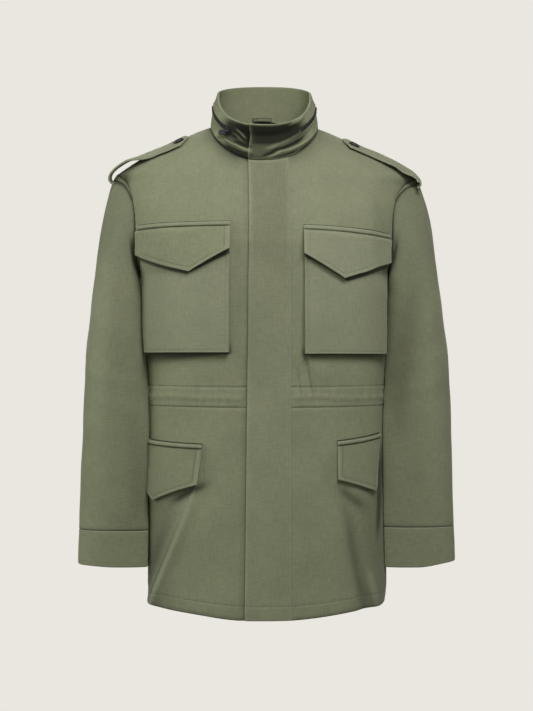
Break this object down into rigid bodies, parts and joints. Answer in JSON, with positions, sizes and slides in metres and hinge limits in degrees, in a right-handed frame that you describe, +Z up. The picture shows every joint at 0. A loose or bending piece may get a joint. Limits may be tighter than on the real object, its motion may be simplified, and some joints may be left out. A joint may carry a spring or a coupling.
{
  "type": "field jacket",
  "caption": "Field jacket of plain cotton twill with a stand collar, covered front, pointed pocket flaps and shoulder straps, hollow as when worn.",
  "frame": {"origin": "middle of the neck, level with the points where the shoulder seams meet the collar, where the wearer's shoulders hold the jacket", "axes": "+Z up, -Y to the front of the jacket, +X to the wearer's left"},
  "size_m": [0.593, 0.2986, 0.8411],
  "materials": {
    "cotton_twill": "washed cotton and nylon twill, olive green",
    "zip_tape": "woven tape, near black",
    "blackened_metal": "blackened, satin",
    "moulded_button": "satin"
  },
  "bodies": {
    "garment": {"front_right": "cotton_twill", "front_left": "cotton_twill", "storm_fly": "cotton_twill", "back": "cotton_twill", "sleeve_right": "cotton_twill", "sleeve_left": "cotton_twill", "gusset_right": "cotton_twill", "gusset_left": "cotton_twill", "cuff_right": "cotton_twill", "cuff_left": "cotton_twill", "collar": "cotton_twill", "collar_zip": "zip_tape", "zip_slider": "blackened_metal", "hanger_loop": "cotton_twill", "chest_pocket_right": "cotton_twill", "chest_pocket_left": "cotton_twill", "chest_flap_right": "cotton_twill", "chest_flap_left": "cotton_twill", "lower_flap_right": "cotton_twill", "lower_flap_left": "cotton_twill", "epaulette_right": "cotton_twill", "epaulette_left": "cotton_twill", "epaulette_button_right": "moulded_button", "epaulette_button_left": "moulded_button"},
    "pull_tab": {"zip_pull": "blackened_metal"}
  },
  "joints": [
    {"name": "zip_pull_hinge", "type": "hinge", "parent": "garment", "child": "pull_tab", "pos_m": [-0.06228, -0.07528, -0.01689], "axis": [0.1027, 0.1457, 0.984], "range_deg": [0, 150]}
  ]
}
